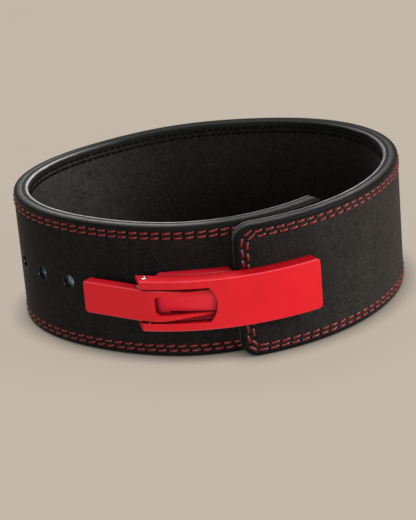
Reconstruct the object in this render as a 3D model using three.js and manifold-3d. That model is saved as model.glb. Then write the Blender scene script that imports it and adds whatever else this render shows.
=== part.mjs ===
// A lever-buckled weightlifting belt, fastened, standing on its lower edge.
// Millimetres, Z up. The buckle faces -Y and the origin is at the middle of the footprint.
import * as THREE from 'three';
import { mergeVertices } from 'three/addons/utils/BufferGeometryUtils.js';
import Module from 'manifold-3d';

const solidLibrary = await Module();
solidLibrary.setup();

// Strap
const beltHeight = 100;
const beltThickness = 11.5;
const suedeThickness = 1.5;
const suedeSetback = 0.4; // the suede faces stop this far short of the core's edges
const suedeRounding = 1.1;
const plyGap = 0.3;
const endCornerRadius = 12;

// Loop that the strap is closed to
const loopRadius = 123;
const flapAngle = 7; // degrees from the front to the outer end
const overlapLength = 83; // how far the inner end runs on under the outer one
const layerGap = 0.6;
const peelDepth = 6; // how far the inner end stands in from the outer layer
const peelLength = 120;
const peelPower = 1.25;
// Each row is one wave round the loop, as shares of its radius
const loopWaves = [
  { waves: 2, cosine: -0.107, sine: -0.034 },
  { waves: 3, cosine: 0.0175, sine: 0.016 },
  { waves: 4, cosine: 0.0155, sine: 0.008 },
  { waves: 5, cosine: -0.003, sine: -0.008 },
];

// Punched holes
const holeDiameter = 10;
const holePitch = 28.5;
const holeCount = 9;
const firstHoleInset = 40.5; // from the inner end to the nearest hole

// Buckle: places run along the strap from its outer end, minus to the left,
// and out from the face of the inner layer
const fitClearance = 0.3;
const castingChamfer = 0.8;
const leverLength = 119.5;
const leverReach = 53.4; // how far the lever lies over the outer end
const leverHeight = 38;
const leverDepth = 11;
const leverFlapGap = 1.4; // between the outer end and the lever's back
const leverWall = 3.5;
const leverPlate = 3.7;
const leverCorner = 3; // at its right end
const leverEarCorner = 0.8; // at the left ends of its two ears
const leverEarSlant = 6; // how much shorter they are at their face than at their back
const slotGap = 1; // above and below the hook plate
const slotCover = 7.8; // how far the lever reaches left over the link pin
const slotBulge = 4.5;

const leverPinInset = 8.3; // from the left end of the lever
const leverPinDiameter = 3.2;
const leverPinProud = 0.3;
const leverThrow = 51.7; // from the lever pin to the link pin
const linkPinDiameter = 2.6;
const linkPinSeat = 1.5; // how deep it sits in each side of the lever

const hookHeight = 24;
const hookLength = 96.5;
const hookArm = 2.95;
const hookArmTaper = 25.5;
const hookPlate = 2.6;
const hookWall = 3;
const hookDepth = 8;
const hookCorner = 2;
const hookEyeDiameter = 5.2;
const hookStep = 3;
const windowHeight = 14.5;
const windowInset = 15; // from the left end of the lever
const windowCorner = 3;
const prongThickness = 4;
const prongWidth = 5.6;
const prongReach = 8.5; // how deep it goes into the strap
const prongLean = 4; // how far its root stands to the right of its hole
const prongHeel = 0.5;
const prongTaper = 1.5;
// Each row gives the hook plate's face as a share of how far the lever's face stands out,
// and its depth as a share; along runs from -1 at the hook plate's left end
// to 0 at the lever's, and on to 1 at the link pin
const hookSections = [
  { along: -1, face: 0.71, depth: 1 },
  { along: -0.47, face: 0.77, depth: 1 },
  { along: -0.05, face: 0.87, depth: 1 },
  { along: 0.03, face: 0.905, depth: 1 },
  { along: 0.07, face: 0.925, depth: 0.325 },
  { along: 0.15, face: 0.965, depth: 0.325 },
  { along: 0.27, face: 1, depth: 0.325 },
  { along: 0.42, face: 0.975, depth: 0.325 },
  { along: 0.62, face: 0.885, depth: 0.325 },
  { along: 0.82, face: 0.79, depth: 0.325 },
  { along: 1, face: 0.775, depth: 0.325 },
];

const baseHeight = 36;
const baseInset = 12.5; // from the left end of the lever
const baseTopOut = 10;
const basePlateThickness = 2.55;
const basePlateGap = 1; // between it and the lever's walls
const baseCorner = 3;
const riserLength = 3.5;
const tongueHeight = 17;
const crownOut = 19.2; // how far the tongue's middle has risen where it goes under the lever
const crownInset = 3; // from the window's left end
const crownPinGap = 4; // from the link pin's middle
const lugDiameter = 5.4;
// Each row gives the back and the face of the wide part of the base casting,
// along as a share of its length from the left, the others of its top's height
const baseSections = [
  { along: 0, back: 0.6, face: 0.93 },
  { along: 0.2, back: 0.3, face: 0.95 },
  { along: 0.5, back: 0.1, face: 0.98 },
  { along: 1, back: 0.045, face: 1 },
];

const screwShares = [0.37, 0.76]; // along the plate that lies on the outer end
const screwDiameter = 4;
const screwHeadDiameter = 11;
const screwHeadThickness = 1.2;

// How finely curves are cut
const strapStep = 9;
const castingStep = 6;
const roundSides = 16;
const arcSteps = 1440;

const beltMiddle = beltHeight / 2;
const layerPitch = beltThickness + layerGap;

// Where the buckle's pieces lie
const basePlateBack = layerPitch + fitClearance;
const basePlateFace = basePlateBack + basePlateThickness;
const basePlateReach = leverReach - leverWall - basePlateGap;
const basePlateHeight = leverHeight - 2 * (leverWall + basePlateGap);
const screwPlaces = screwShares.map((share) => share * basePlateReach);
const leverStart = leverReach - leverLength;
const leverBackOut = layerPitch + leverFlapGap;
const leverFaceOut = leverBackOut + leverDepth;
const pinOut = basePlateFace + fitClearance + hookEyeDiameter / 2;
const leverPinAlong = leverStart + leverPinInset;
const linkPinAlong = leverPinAlong + leverThrow;
const hookStart = linkPinAlong - hookLength;
const windowStart = leverStart + windowInset;
const baseStart = leverStart + baseInset;

// The loop's own line, measured by the angle from the front
function radiusAt(angle) {
  const wave = (row) => row.cosine * Math.cos(row.waves * angle) + row.sine * Math.sin(row.waves * angle);
  return loopRadius * loopWaves.reduce((sum, row) => sum + wave(row), 1);
}

function linePoint(angle) {
  const radius = radiusAt(angle);
  return new THREE.Vector2(radius * Math.sin(angle), -radius * Math.cos(angle));
}

function lineNormal(angle) {
  const nearby = 1e-4;
  const tangent = linePoint(angle + nearby).sub(linePoint(angle - nearby)).normalize();
  return new THREE.Vector2(tangent.y, -tangent.x);
}

// Distance along the line at equal steps of angle, from the strap's outer end
const startAngle = THREE.MathUtils.degToRad(flapAngle);
const arcAngle = (step) => startAngle + (step / arcSteps) * 2 * Math.PI;
const arcTable = [0];
for (let step = 1; step <= arcSteps; step += 1) {
  const chord = linePoint(arcAngle(step)).distanceTo(linePoint(arcAngle(step - 1)));
  arcTable.push(arcTable[step - 1] + chord);
}
const turnLength = arcTable[arcSteps];
const strapLength = turnLength + overlapLength;

function angleAt(distance) {
  const turns = Math.floor(distance / turnLength);
  const rest = distance - turns * turnLength;
  let step = Math.min(arcSteps - 1, Math.floor((rest / turnLength) * arcSteps));
  while (step > 0 && arcTable[step] > rest) step -= 1;
  while (step < arcSteps - 1 && arcTable[step + 1] < rest) step += 1;
  const share = (rest - arcTable[step]) / (arcTable[step + 1] - arcTable[step]);
  return arcAngle(step + share) + turns * 2 * Math.PI;
}

function pointOff(distance, offset, height) {
  const angle = angleAt(distance);
  const point = linePoint(angle).addScaledVector(lineNormal(angle), offset);
  return new THREE.Vector3(point.x, point.y, height);
}

// The strap's outer face winds in by one layer each turn, and its inner end stands in further
function strapFace(distance) {
  const run = Math.max(0, 1 - (strapLength - distance) / peelLength);
  return layerPitch * (1 - distance / turnLength) - peelDepth * run ** peelPower;
}

// The buckle is placed from the face of the inner layer, as if that didn't peel away
function place(along, out, up) {
  return pointOff(along, (-layerPitch * along) / turnLength + out, beltMiddle + up);
}

// Solids
function toSolid(geometry) {
  const bare = geometry.clone();
  bare.deleteAttribute('normal');
  bare.deleteAttribute('uv');
  const merged = mergeVertices(bare, 1e-5);
  const triVerts = new Uint32Array(merged.index.array);
  const vertProperties = new Float32Array(merged.attributes.position.array);
  return new solidLibrary.Manifold(new solidLibrary.Mesh({ numProp: 3, vertProperties, triVerts }));
}

function toGeometry(solid) {
  const mesh = solid.getMesh();
  const geometry = new THREE.BufferGeometry();
  geometry.setAttribute('position', new THREE.BufferAttribute(new Float32Array(mesh.vertProperties), 3));
  geometry.setIndex(new THREE.BufferAttribute(new Uint32Array(mesh.triVerts), 1));
  return geometry;
}

function closedGeometry(points, triangles) {
  const volume = triangles.reduce((sum, [a, b, c]) => {
    return sum + points[a].dot(new THREE.Vector3().crossVectors(points[b], points[c]));
  }, 0);
  const facing = volume < 0 ? triangles.map(([a, b, c]) => [a, c, b]) : triangles;
  const geometry = new THREE.BufferGeometry();
  geometry.setAttribute('position', new THREE.Float32BufferAttribute(points.flatMap((p) => p.toArray()), 3));
  geometry.setIndex(facing.flat());
  return geometry;
}

// Joins rings of equally many points into one closed body, with given end caps
function loft(rings, cap) {
  const count = rings[0].length;
  const triangles = [];
  for (let ring = 0; ring < rings.length - 1; ring += 1) {
    for (let corner = 0; corner < count; corner += 1) {
      const here = ring * count + corner;
      const next = ring * count + ((corner + 1) % count);
      triangles.push([here, next, here + count], [next, next + count, here + count]);
    }
  }
  const last = (rings.length - 1) * count;
  cap.forEach(([a, b, c]) => triangles.push([a, c, b], [last + a, last + b, last + c]));
  return closedGeometry(rings.flat(), triangles);
}

function fan(count) {
  return Array.from({ length: count - 2 }, (unused, corner) => [0, corner + 1, corner + 2]);
}

// How far in from an end the sections of its round corner lie
function cornerInsets(radius) {
  const quarters = radius > 0 ? [0, 1, 2, 3, 4] : [0];
  return quarters.map((quarter) => radius * (1 - Math.cos((quarter * Math.PI) / 8)));
}

// Places of the sections between two ends, closer together where the corners are round
function stations(start, end, step, startRadius, endRadius) {
  const straight = end - start - startRadius - endRadius;
  const count = Math.max(1, Math.ceil(straight / step));
  const inner = Array.from({ length: count - 1 }, (unused, index) => {
    return start + startRadius + (straight * (index + 1)) / count;
  });
  const before = cornerInsets(startRadius).map((inset) => start + inset);
  const after = cornerInsets(endRadius).map((inset) => end - inset);
  return [...before, ...inner, ...after.reverse()];
}

function roundedHalf(half, radius, inset) {
  if (inset >= radius) return half;
  return half - radius + Math.sqrt(radius ** 2 - (radius - inset) ** 2);
}

// A bar that follows the strap, made of sections across it
function slab({ start, end, back, face, half, corner = 0, startCorner = corner, chamfer = 0, step = castingStep,
  at = place }) {
  const rings = stations(start, end, step, startCorner, corner).map((along) => {
    const inset = Math.min(along - start, end - along);
    const radius = along - start < end - along ? startCorner : corner;
    const high = roundedHalf(half(along), radius, inset);
    const top = face(along) - Math.max(0, chamfer - inset);
    const outline = [[back(along), -high], [top - chamfer, -high], [top, chamfer - high]];
    outline.push([top, high - chamfer], [top - chamfer, high], [back(along), high]);
    const corners = chamfer > 0 ? outline : [outline[0], outline[2], outline[3], outline[5]];
    return corners.map(([out, up]) => at(along, out, up));
  });
  return toSolid(loft(rings, fan(rings[0].length)));
}

// A cut straight through a plate, from an outline along the strap and up
function throughCut(outline, back, face) {
  const dense = outline.flatMap((point, index) => {
    const next = outline[(index + 1) % outline.length];
    const parts = Math.ceil(point.distanceTo(next) / castingStep);
    return Array.from({ length: parts }, (unused, part) => point.clone().lerp(next, part / parts));
  });
  const rings = [back, face].map((out) => dense.map((point) => place(point.x, out, point.y)));
  return toSolid(loft(rings, THREE.ShapeUtils.triangulateShape(dense, [])));
}

// A short upright prism from an outline along the strap and out from it
function uprightPrism(outline, half) {
  const rings = [-half, half].map((up) => outline.map(([along, out]) => place(along, out, up)));
  return toSolid(loft(rings, fan(outline.length)));
}

function roundBar(diameter, length, centre, direction) {
  const bar = new THREE.CylinderGeometry(diameter / 2, diameter / 2, length, roundSides);
  bar.applyQuaternion(new THREE.Quaternion().setFromUnitVectors(new THREE.Vector3(0, 1, 0), direction));
  return bar.translate(centre.x, centre.y, centre.z);
}

const upward = new THREE.Vector3(0, 0, 1);
const uprightBar = (diameter, low, high, along, out) => {
  return roundBar(diameter, high - low, place(along, out, (low + high) / 2), upward);
};

function outwardAt(distance) {
  const normal = lineNormal(angleAt(distance));
  return new THREE.Vector3(normal.x, normal.y, 0);
}

// Between the rows of a table, a line through a named column, straight or smooth
function columnLine(rows, column, Interpolant) {
  const line = new Interpolant(rows.map((row) => row.along), rows.map((row) => row[column]), 1);
  const [first, last] = [rows[0].along, rows[rows.length - 1].along];
  return (share) => line.evaluate(THREE.MathUtils.clamp(share, first, last))[0];
}

const materials = {
  outerSuede: new THREE.MeshStandardMaterial({ color: 0x1b1a17, roughness: 0.92, metalness: 0 }),
  innerSuede: new THREE.MeshStandardMaterial({ color: 0x24211e, roughness: 0.95, metalness: 0 }),
  paintedEdge: new THREE.MeshStandardMaterial({ color: 0x4c4b49, roughness: 0.5, metalness: 0 }),
  redCoat: new THREE.MeshStandardMaterial({ color: 0xd9242e, roughness: 0.38, metalness: 0.3 }),
  steel: new THREE.MeshStandardMaterial({ color: 0xc9c9c7, roughness: 0.25, metalness: 1 }),
};

const belt = new THREE.Group();

function addPiece(name, geometry, material) {
  const mesh = new THREE.Mesh(geometry, material);
  mesh.name = name;
  belt.add(mesh);
}

// Strap: a leather core between two suede faces, all punched together
const lastHole = strapLength - firstHoleInset;
const holePlaces = Array.from({ length: holeCount }, (unused, index) => lastHole - index * holePitch);

function punch(distance, diameter, height) {
  const centre = pointOff(distance, strapFace(distance) - beltThickness / 2, height);
  return toSolid(roundBar(diameter, 2 * beltThickness, centre, outwardAt(distance)));
}

const tightHole = screwDiameter + 2 * fitClearance;
const headHole = screwHeadDiameter + 2 * fitClearance;

function strapPly(depthFrom, depthTo, setback, rounding, screwHole) {
  const at = (distance, depth, up) => pointOff(distance, strapFace(distance) - depth, beltMiddle + up);
  const outside = depthFrom === 0;
  const sign = outside ? -1 : 1;
  let ply = slab({
    start: setback,
    end: strapLength - setback,
    back: () => sign * (outside ? depthTo : depthFrom),
    face: () => sign * (outside ? depthFrom : depthTo),
    half: () => beltMiddle - setback,
    corner: endCornerRadius - setback,
    chamfer: rounding,
    step: strapStep,
    at: (distance, signed, up) => at(distance, sign * signed, up),
  });
  holePlaces.forEach((distance) => {
    ply = ply.subtract(punch(distance, holeDiameter, beltMiddle));
  });
  screwPlaces.forEach((distance) => {
    ply = ply.subtract(punch(distance, screwHole, beltMiddle));
  });
  return toGeometry(ply);
}

const coreTop = suedeThickness + plyGap;
const coreBottom = beltThickness - suedeThickness - plyGap;
const innerTop = beltThickness - suedeThickness;
addPiece(
  'outer_suede',
  strapPly(0, suedeThickness, suedeSetback, suedeRounding, tightHole),
  materials.outerSuede,
);
addPiece('leather_core', strapPly(coreTop, coreBottom, 0, 0, tightHole), materials.paintedEdge);
addPiece(
  'inner_suede',
  strapPly(innerTop, beltThickness, suedeSetback, suedeRounding, headHole),
  materials.innerSuede,
);

// Lever: a channel that covers the outer end, slotted at its left for the hook plate
const beyond = 10; // how far a cut runs past what it cuts

function leverHandle() {
  const block = slab({
    start: leverStart,
    end: leverReach,
    back: () => leverBackOut,
    face: () => leverFaceOut,
    half: () => leverHeight / 2,
    corner: leverCorner,
    startCorner: leverEarCorner,
    chamfer: castingChamfer,
  });
  const hollow = slab({
    start: leverStart - beyond,
    end: leverReach - leverWall,
    back: () => leverBackOut - beyond,
    face: () => leverFaceOut - leverPlate,
    half: () => leverHeight / 2 - leverWall,
  });
  const slotHeight = hookHeight + 2 * slotGap;
  const slotEnd = linkPinAlong - slotCover;
  const slotRadius = ((slotHeight / 2) ** 2 + slotBulge ** 2) / (2 * slotBulge);
  const sweep = Math.asin(slotHeight / 2 / slotRadius);
  const arc = new THREE.EllipseCurve(slotEnd - slotRadius, 0, slotRadius, slotRadius, -sweep, sweep);
  const farLeft = leverStart - beyond;
  const slotLine = [new THREE.Vector2(farLeft, -slotHeight / 2), ...arc.getPoints(10)];
  slotLine.push(new THREE.Vector2(farLeft, slotHeight / 2));
  const slot = throughCut(slotLine, leverBackOut - beyond, leverFaceOut + beyond);
  const pinHoleSize = leverPinDiameter + 2 * fitClearance;
  const pinHole = uprightBar(pinHoleSize, -leverHeight, leverHeight, leverPinAlong, pinOut);
  const slantRun = (leverEarSlant * beyond) / leverDepth;
  const earEnds = [
    [leverStart - 2 * beyond, leverBackOut - beyond],
    [leverStart - slantRun, leverBackOut - beyond],
    [leverStart + leverEarSlant + slantRun, leverFaceOut + beyond],
    [leverStart - 2 * beyond, leverFaceOut + beyond],
  ];
  const seatReach = leverHeight / 2 - leverWall + linkPinSeat + fitClearance;
  const pinSeat = uprightBar(linkPinDiameter + 2 * fitClearance, -seatReach, seatReach, linkPinAlong, pinOut);
  const open = block.subtract(hollow).subtract(slot).subtract(uprightPrism(earEnds, leverHeight));
  const cut = open.subtract(toSolid(pinHole));
  return toGeometry(cut.subtract(toSolid(pinSeat)));
}

addPiece('lever_handle', leverHandle(), materials.redCoat);

// Hook plate: two prongs under its left part, and two arms that pass under the lever to the link pin
const hookShare = (along) => {
  return (along - leverStart) / (along < leverStart ? leverStart - hookStart : linkPinAlong - leverStart);
};
const hookFaceCurve = columnLine(hookSections, 'face', THREE.CubicInterpolant);
const hookDepthLine = columnLine(hookSections, 'depth', THREE.LinearInterpolant);
const hookFace = (along) => leverFaceOut * hookFaceCurve(hookShare(along));

function hookProng(holeAlong) {
  const rootAlong = holeAlong + prongLean;
  const rootOut = hookFace(rootAlong) - hookPlate / 2;
  const half = prongThickness / 2;
  const outline = [
    [holeAlong - half - prongHeel, -prongReach],
    [holeAlong + half - prongTaper, -prongReach],
    [holeAlong + half, 0],
    [rootAlong + half, rootOut],
    [rootAlong - half, rootOut],
    [holeAlong - half - prongHeel, 0],
  ];
  return uprightPrism(outline, prongWidth / 2);
}

function hookPlateSolid() {
  const armTaper = (along) => THREE.MathUtils.smoothstep(along, windowStart, windowStart + hookArmTaper);
  const half = (along) => THREE.MathUtils.lerp(hookHeight, windowHeight + 2 * hookArm, armTaper(along)) / 2;
  const block = slab({
    start: hookStart,
    end: linkPinAlong,
    back: (along) => hookFace(along) - hookDepth * hookDepthLine(hookShare(along)),
    face: hookFace,
    half,
    corner: hookCorner,
    chamfer: castingChamfer,
    step: hookStep,
  });
  const hollow = slab({
    start: hookStart + hookWall,
    end: leverStart - 1,
    back: () => -beyond,
    face: (along) => hookFace(along) - hookPlate,
    half: () => hookHeight / 2 - hookWall,
    step: hookStep,
  });
  const windowLeft = new THREE.Shape();
  const high = windowHeight / 2;
  windowLeft.moveTo(linkPinAlong + beyond, -high);
  windowLeft.lineTo(linkPinAlong + beyond, high);
  windowLeft.absarc(windowStart + windowCorner, high - windowCorner, windowCorner, Math.PI / 2, Math.PI);
  windowLeft.absarc(windowStart + windowCorner, windowCorner - high, windowCorner, Math.PI, 1.5 * Math.PI);
  const window = throughCut(windowLeft.getPoints(4), leverBackOut - beyond, leverFaceOut + beyond);
  let plate = block.subtract(hollow).subtract(window);
  [-1, 1].forEach((side) => {
    const low = side > 0 ? windowHeight / 2 : -windowHeight / 2 - hookArm;
    plate = plate.add(toSolid(uprightBar(hookEyeDiameter, low, low + hookArm, linkPinAlong, pinOut)));
  });
  const heldHoles = holePlaces.map((distance) => distance - turnLength);
  const reachable = heldHoles.filter((along) => along > hookStart && along + prongLean < leverStart - hookWall);
  reachable.forEach((along) => {
    plate = plate.add(hookProng(along));
  });
  const pinHoleSize = linkPinDiameter + 2 * fitClearance;
  const pinHole = uprightBar(pinHoleSize, -hookHeight, hookHeight, linkPinAlong, pinOut);
  return toGeometry(plate.subtract(toSolid(pinHole)));
}

addPiece('hook_plate', hookPlateSolid(), materials.redCoat);

// Base casting: a wide part on the inner layer, a tongue out to the lever pin,
// with a crown that rises in the hook plate's window, and a plate that is screwed on the outer end
function basePlateSolid() {
  const backLine = columnLine(baseSections, 'back', THREE.LinearInterpolant);
  const faceLine = columnLine(baseSections, 'face', THREE.LinearInterpolant);
  const baseShare = (along) => 1 - along / baseStart;
  const wide = slab({
    start: baseStart,
    end: -2 * fitClearance,
    back: (along) => baseTopOut * backLine(baseShare(along)),
    face: (along) => baseTopOut * faceLine(baseShare(along)),
    half: () => baseHeight / 2,
    corner: baseCorner,
    chamfer: castingChamfer,
  });
  const lugEnd = leverPinAlong + lugDiameter / 2;
  const tongue = slab({
    start: leverPinAlong - lugDiameter / 2 + fitClearance,
    end: -riserLength,
    back: (along) => (along < baseStart + baseCorner ? basePlateBack : baseTopOut / 2),
    face: (along) => (along < lugEnd ? pinOut - fitClearance : basePlateFace),
    half: () => tongueHeight / 2,
  });
  const crownStart = windowStart + crownInset;
  const crownEnd = linkPinAlong - crownPinGap;
  const crown = slab({
    start: crownStart,
    end: crownEnd,
    back: () => baseTopOut / 2,
    face: (along) => THREE.MathUtils.mapLinear(along, crownStart, crownEnd, basePlateFace, crownOut),
    half: () => windowHeight / 2 - fitClearance,
  });
  const lug = uprightBar(lugDiameter, -tongueHeight / 2, tongueHeight / 2, leverPinAlong, pinOut);
  const riser = slab({
    start: -riserLength - 2 * fitClearance,
    end: -2 * fitClearance,
    back: () => baseTopOut / 2,
    face: () => basePlateFace,
    half: () => basePlateHeight / 2,
  });
  const plate = slab({
    start: -riserLength,
    end: basePlateReach,
    back: () => basePlateBack,
    face: () => basePlateFace,
    half: () => basePlateHeight / 2,
    corner: baseCorner,
  });
  let casting = wide.add(tongue).add(crown).add(toSolid(lug)).add(riser).add(plate);
  const pinHoleSize = leverPinDiameter + 2 * fitClearance;
  const pinHole = uprightBar(pinHoleSize, -baseHeight, baseHeight, leverPinAlong, pinOut);
  casting = casting.subtract(toSolid(pinHole));
  screwPlaces.forEach((distance) => {
    const hole = roundBar(tightHole, 2 * beyond, place(distance, basePlateFace, 0), outwardAt(distance));
    casting = casting.subtract(toSolid(hole));
  });
  return toGeometry(casting);
}

addPiece('base_plate', basePlateSolid(), materials.redCoat);

// Pins: the lever turns on one, and the hook plate's arms on the other
const leverPinReach = leverHeight / 2 + leverPinProud;
const leverPin = uprightBar(leverPinDiameter, -leverPinReach, leverPinReach, leverPinAlong, pinOut);
addPiece('lever_pin', leverPin, materials.steel);
const linkPinReach = leverHeight / 2 - leverWall + linkPinSeat;
const linkPin = uprightBar(linkPinDiameter, -linkPinReach, linkPinReach, linkPinAlong, pinOut);
addPiece('link_pin', linkPin, materials.steel);

// Screws: from inside the outer end, through it and into the base casting
function baseScrew(distance) {
  const headFrom = layerGap + fitClearance;
  const headTo = headFrom + screwHeadThickness;
  const tip = basePlateFace - fitClearance;
  const profile = [
    [0, headFrom],
    [screwHeadDiameter / 2, headFrom],
    [screwHeadDiameter / 2, headTo],
    [screwDiameter / 2, headTo],
    [screwDiameter / 2, tip],
    [0, tip],
  ];
  const screw = new THREE.LatheGeometry(profile.map(([x, y]) => new THREE.Vector2(x, y)), roundSides);
  const seat = place(distance, 0, 0);
  const turn = new THREE.Quaternion().setFromUnitVectors(new THREE.Vector3(0, 1, 0), outwardAt(distance));
  return screw.applyQuaternion(turn).translate(seat.x, seat.y, seat.z);
}

screwPlaces.forEach((distance, index) => {
  addPiece(['base_screw_left', 'base_screw_right'][index], baseScrew(distance), materials.steel);
});

// The origin goes to the middle of the footprint
const bounds = new THREE.Box3().setFromObject(belt);
const middle = bounds.getCenter(new THREE.Vector3());
belt.position.set(-middle.x, -middle.y, -bounds.min.z);

export default belt;
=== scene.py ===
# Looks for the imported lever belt: nubuck strap, sewn edges, red cast buckle, steel pins
# Blender works in metres; the dictionaries give millimetres unless they say otherwise
import math

import bmesh
import bpy
import numpy as np
from mathutils import Matrix, Vector


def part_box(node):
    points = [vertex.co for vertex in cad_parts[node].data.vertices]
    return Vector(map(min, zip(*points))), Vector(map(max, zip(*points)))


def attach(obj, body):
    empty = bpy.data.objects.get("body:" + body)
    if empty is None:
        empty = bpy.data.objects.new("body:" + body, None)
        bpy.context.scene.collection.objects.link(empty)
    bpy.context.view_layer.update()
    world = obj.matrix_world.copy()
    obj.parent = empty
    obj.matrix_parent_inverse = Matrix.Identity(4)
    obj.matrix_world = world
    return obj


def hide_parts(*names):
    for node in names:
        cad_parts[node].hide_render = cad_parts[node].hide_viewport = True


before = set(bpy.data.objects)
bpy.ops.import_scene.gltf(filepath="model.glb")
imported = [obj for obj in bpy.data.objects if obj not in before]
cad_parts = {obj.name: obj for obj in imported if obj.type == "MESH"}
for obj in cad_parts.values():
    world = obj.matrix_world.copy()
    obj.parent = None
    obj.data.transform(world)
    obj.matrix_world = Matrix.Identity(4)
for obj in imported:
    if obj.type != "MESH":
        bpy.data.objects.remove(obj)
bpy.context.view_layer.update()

mm = 0.001
upAxis = np.array([0.0, 0.0, 1.0])
print("frame loaded:", len(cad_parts), "nodes")


def linearColour(hexCode):
    # sRGB hex to the linear values that Blender's sockets want
    channels = [int(hexCode[i:i + 2], 16) / 255 for i in (1, 3, 5)]
    return [c / 12.92 if c <= 0.04045 else ((c + 0.055) / 1.055) ** 2.4 for c in channels] + [1.0]


def setSockets(tree, node, sockets):
    # Each input gets its link or its value
    for key, value in sockets.items():
        if isinstance(value, bpy.types.NodeSocket):
            tree.links.new(value, node.inputs[key])
        else:
            node.inputs[key].default_value = value


def addNode(tree, kind, settings=None, sockets=None):
    node = tree.nodes.new(kind)
    for name, value in (settings or {}).items():
        setattr(node, name, value)
    setSockets(tree, node, sockets or {})
    return node


def setInputs(modifier, values):
    # A modifier's named inputs, set by their sockets' identifiers
    for item in modifier.node_group.interface.items_tree:
        if item.in_out == "INPUT" and item.name in values:
            modifier[item.identifier] = values[item.name]


def setRamp(ramp, stops):
    # stops are (place, hex colour) pairs
    elements = ramp.color_ramp.elements
    while len(elements) > len(stops):
        elements.remove(elements[-1])
    while len(elements) < len(stops):
        elements.new(1.0)
    for element, (place, hexCode) in zip(elements, stops):
        element.position = place
        element.color = linearColour(hexCode)


def addObject(name, data):
    made = bpy.data.objects.new(name, data)
    bpy.context.scene.collection.objects.link(made)
    return made


def settledMesh(maker, name):
    # What a maker's modifiers give, as a plain mesh, and the maker goes
    depsgraph = bpy.context.evaluated_depsgraph_get()
    mesh = bpy.data.meshes.new_from_object(maker.evaluated_get(depsgraph))
    mesh.name = name
    bpy.data.objects.remove(maker)
    return mesh


# Camera, set from the rims and the lower edge of the belt in the photo
cameraSetup = {
    "elevation": 21.5,  # degrees above the level
    "roll": -4.915,
    "distance": 1568.2,
    "lens": 179.06,  # on a 36 mm wide sensor
    "sensor": 36.0,
    "shiftX": -0.0061,
    "shiftY": -0.0676,
    "aim": (-0.6, 10.9, 50.0),
    "farthest": 20000.0,
}


def makeCamera(setup):
    elevation, roll = math.radians(setup["elevation"]), math.radians(setup["roll"])
    forward = Vector((0, math.cos(elevation), -math.sin(elevation)))
    level = Vector((1, 0, 0))
    above = level.cross(forward)
    right = math.cos(roll) * level + math.sin(roll) * above
    up = -math.sin(roll) * level + math.cos(roll) * above
    data = bpy.data.cameras.new("camera")
    data.sensor_fit = "HORIZONTAL"
    data.sensor_width = setup["sensor"]
    data.lens = setup["lens"]
    data.shift_x, data.shift_y = setup["shiftX"], setup["shiftY"]
    data.clip_end = setup["farthest"] * mm
    camera = addObject("camera", data)
    place = (Vector(setup["aim"]) - forward * setup["distance"]) * mm
    turn = Matrix((right, up, -forward)).transposed().to_4x4()
    camera.matrix_world = Matrix.Translation(place) @ turn
    bpy.context.scene.camera = camera


makeCamera(cameraSetup)
print("camera set")


# Strap line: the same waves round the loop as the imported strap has
strap = {
    "height": 100.0,
    "thickness": 11.5,
    "suede": 1.5,
    "endCorner": 12.0,
    "loopRadius": 123.0,
    "flapAngle": 7.0,  # degrees from the front to the outer end
    "overlap": 83.0,
    "layerGap": 0.6,
    "peelDepth": 6.0,
    "peelLength": 120.0,
    "peelPower": 1.25,
    "waves": ((2, -0.107, -0.034), (3, 0.0175, 0.016), (4, 0.0155, 0.008), (5, -0.003, -0.008)),
    "arcSteps": 1440,
    "stationStep": 3.0,
    "cornerSteps": 8,
    "firstHole": 40.5,  # from the inner end
    "holePitch": 28.5,
    "holeCount": 9,
    "holeDiameter": 10.0,
}


def linePoints(angles):
    radius = strap["loopRadius"] * (1 + sum(
        cosine * np.cos(count * angles) + sine * np.sin(count * angles)
        for count, cosine, sine in strap["waves"]))
    return np.stack([radius * np.sin(angles), -radius * np.cos(angles)], axis=-1)


startAngle = math.radians(strap["flapAngle"])
turnAngles = startAngle + np.linspace(-1, 2, 3 * strap["arcSteps"] + 1) * 2 * math.pi
chords = np.linalg.norm(np.diff(linePoints(turnAngles), axis=0), axis=1)
turnDistances = np.concatenate([[0.0], np.cumsum(chords)])
turnLength = turnDistances[strap["arcSteps"]]
turnDistances -= turnLength
strapLength = turnLength + strap["overlap"]
layerPitch = strap["thickness"] + strap["layerGap"]


def offLine(distance, offset):
    # Plan point at a distance along the strap, moved out along the line's normal
    nearby = 1e-4
    angles = np.interp(distance, turnDistances, turnAngles)
    ahead, behind = linePoints(angles + nearby), linePoints(angles - nearby)
    tangent = (ahead - behind) / np.linalg.norm(ahead - behind, axis=-1, keepdims=True)
    normal = np.stack([tangent[..., 1], -tangent[..., 0]], axis=-1)
    return linePoints(angles) + normal * np.asarray(offset)[..., None], normal, tangent


def strapFace(distance):
    run = np.clip(1 - (strapLength - distance) / strap["peelLength"], 0, None)
    return layerPitch * (1 - distance / turnLength) - strap["peelDepth"] * run ** strap["peelPower"]


def strapPoints(distance, depth, up):
    # Points in the strap, depth in from its outer face, as x, y, z in metres
    distance, depth, up = np.broadcast_arrays(
        np.asarray(distance, float), np.asarray(depth, float), np.asarray(up, float))
    plan, normal, tangent = offLine(distance, strapFace(distance) - depth)
    place = np.concatenate([plan + footprintShift, up[..., None]], axis=-1) * mm
    return place, normal, tangent


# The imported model's origin is the middle of its footprint
footprintShift = np.zeros(2)
everyMillimetre = np.arange(0, turnLength)
looseEdge = strapPoints(everyMillimetre, 0, 0)[0][:, :2]
packedLow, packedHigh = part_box("outer_suede")
footprintShift = (np.array([packedLow.x, packedHigh.y]) - [looseEdge[:, 0].min(), looseEdge[:, 1].max()]) / mm
print("strap length", round(strapLength), "mm, shift", footprintShift.round(2))


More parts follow.
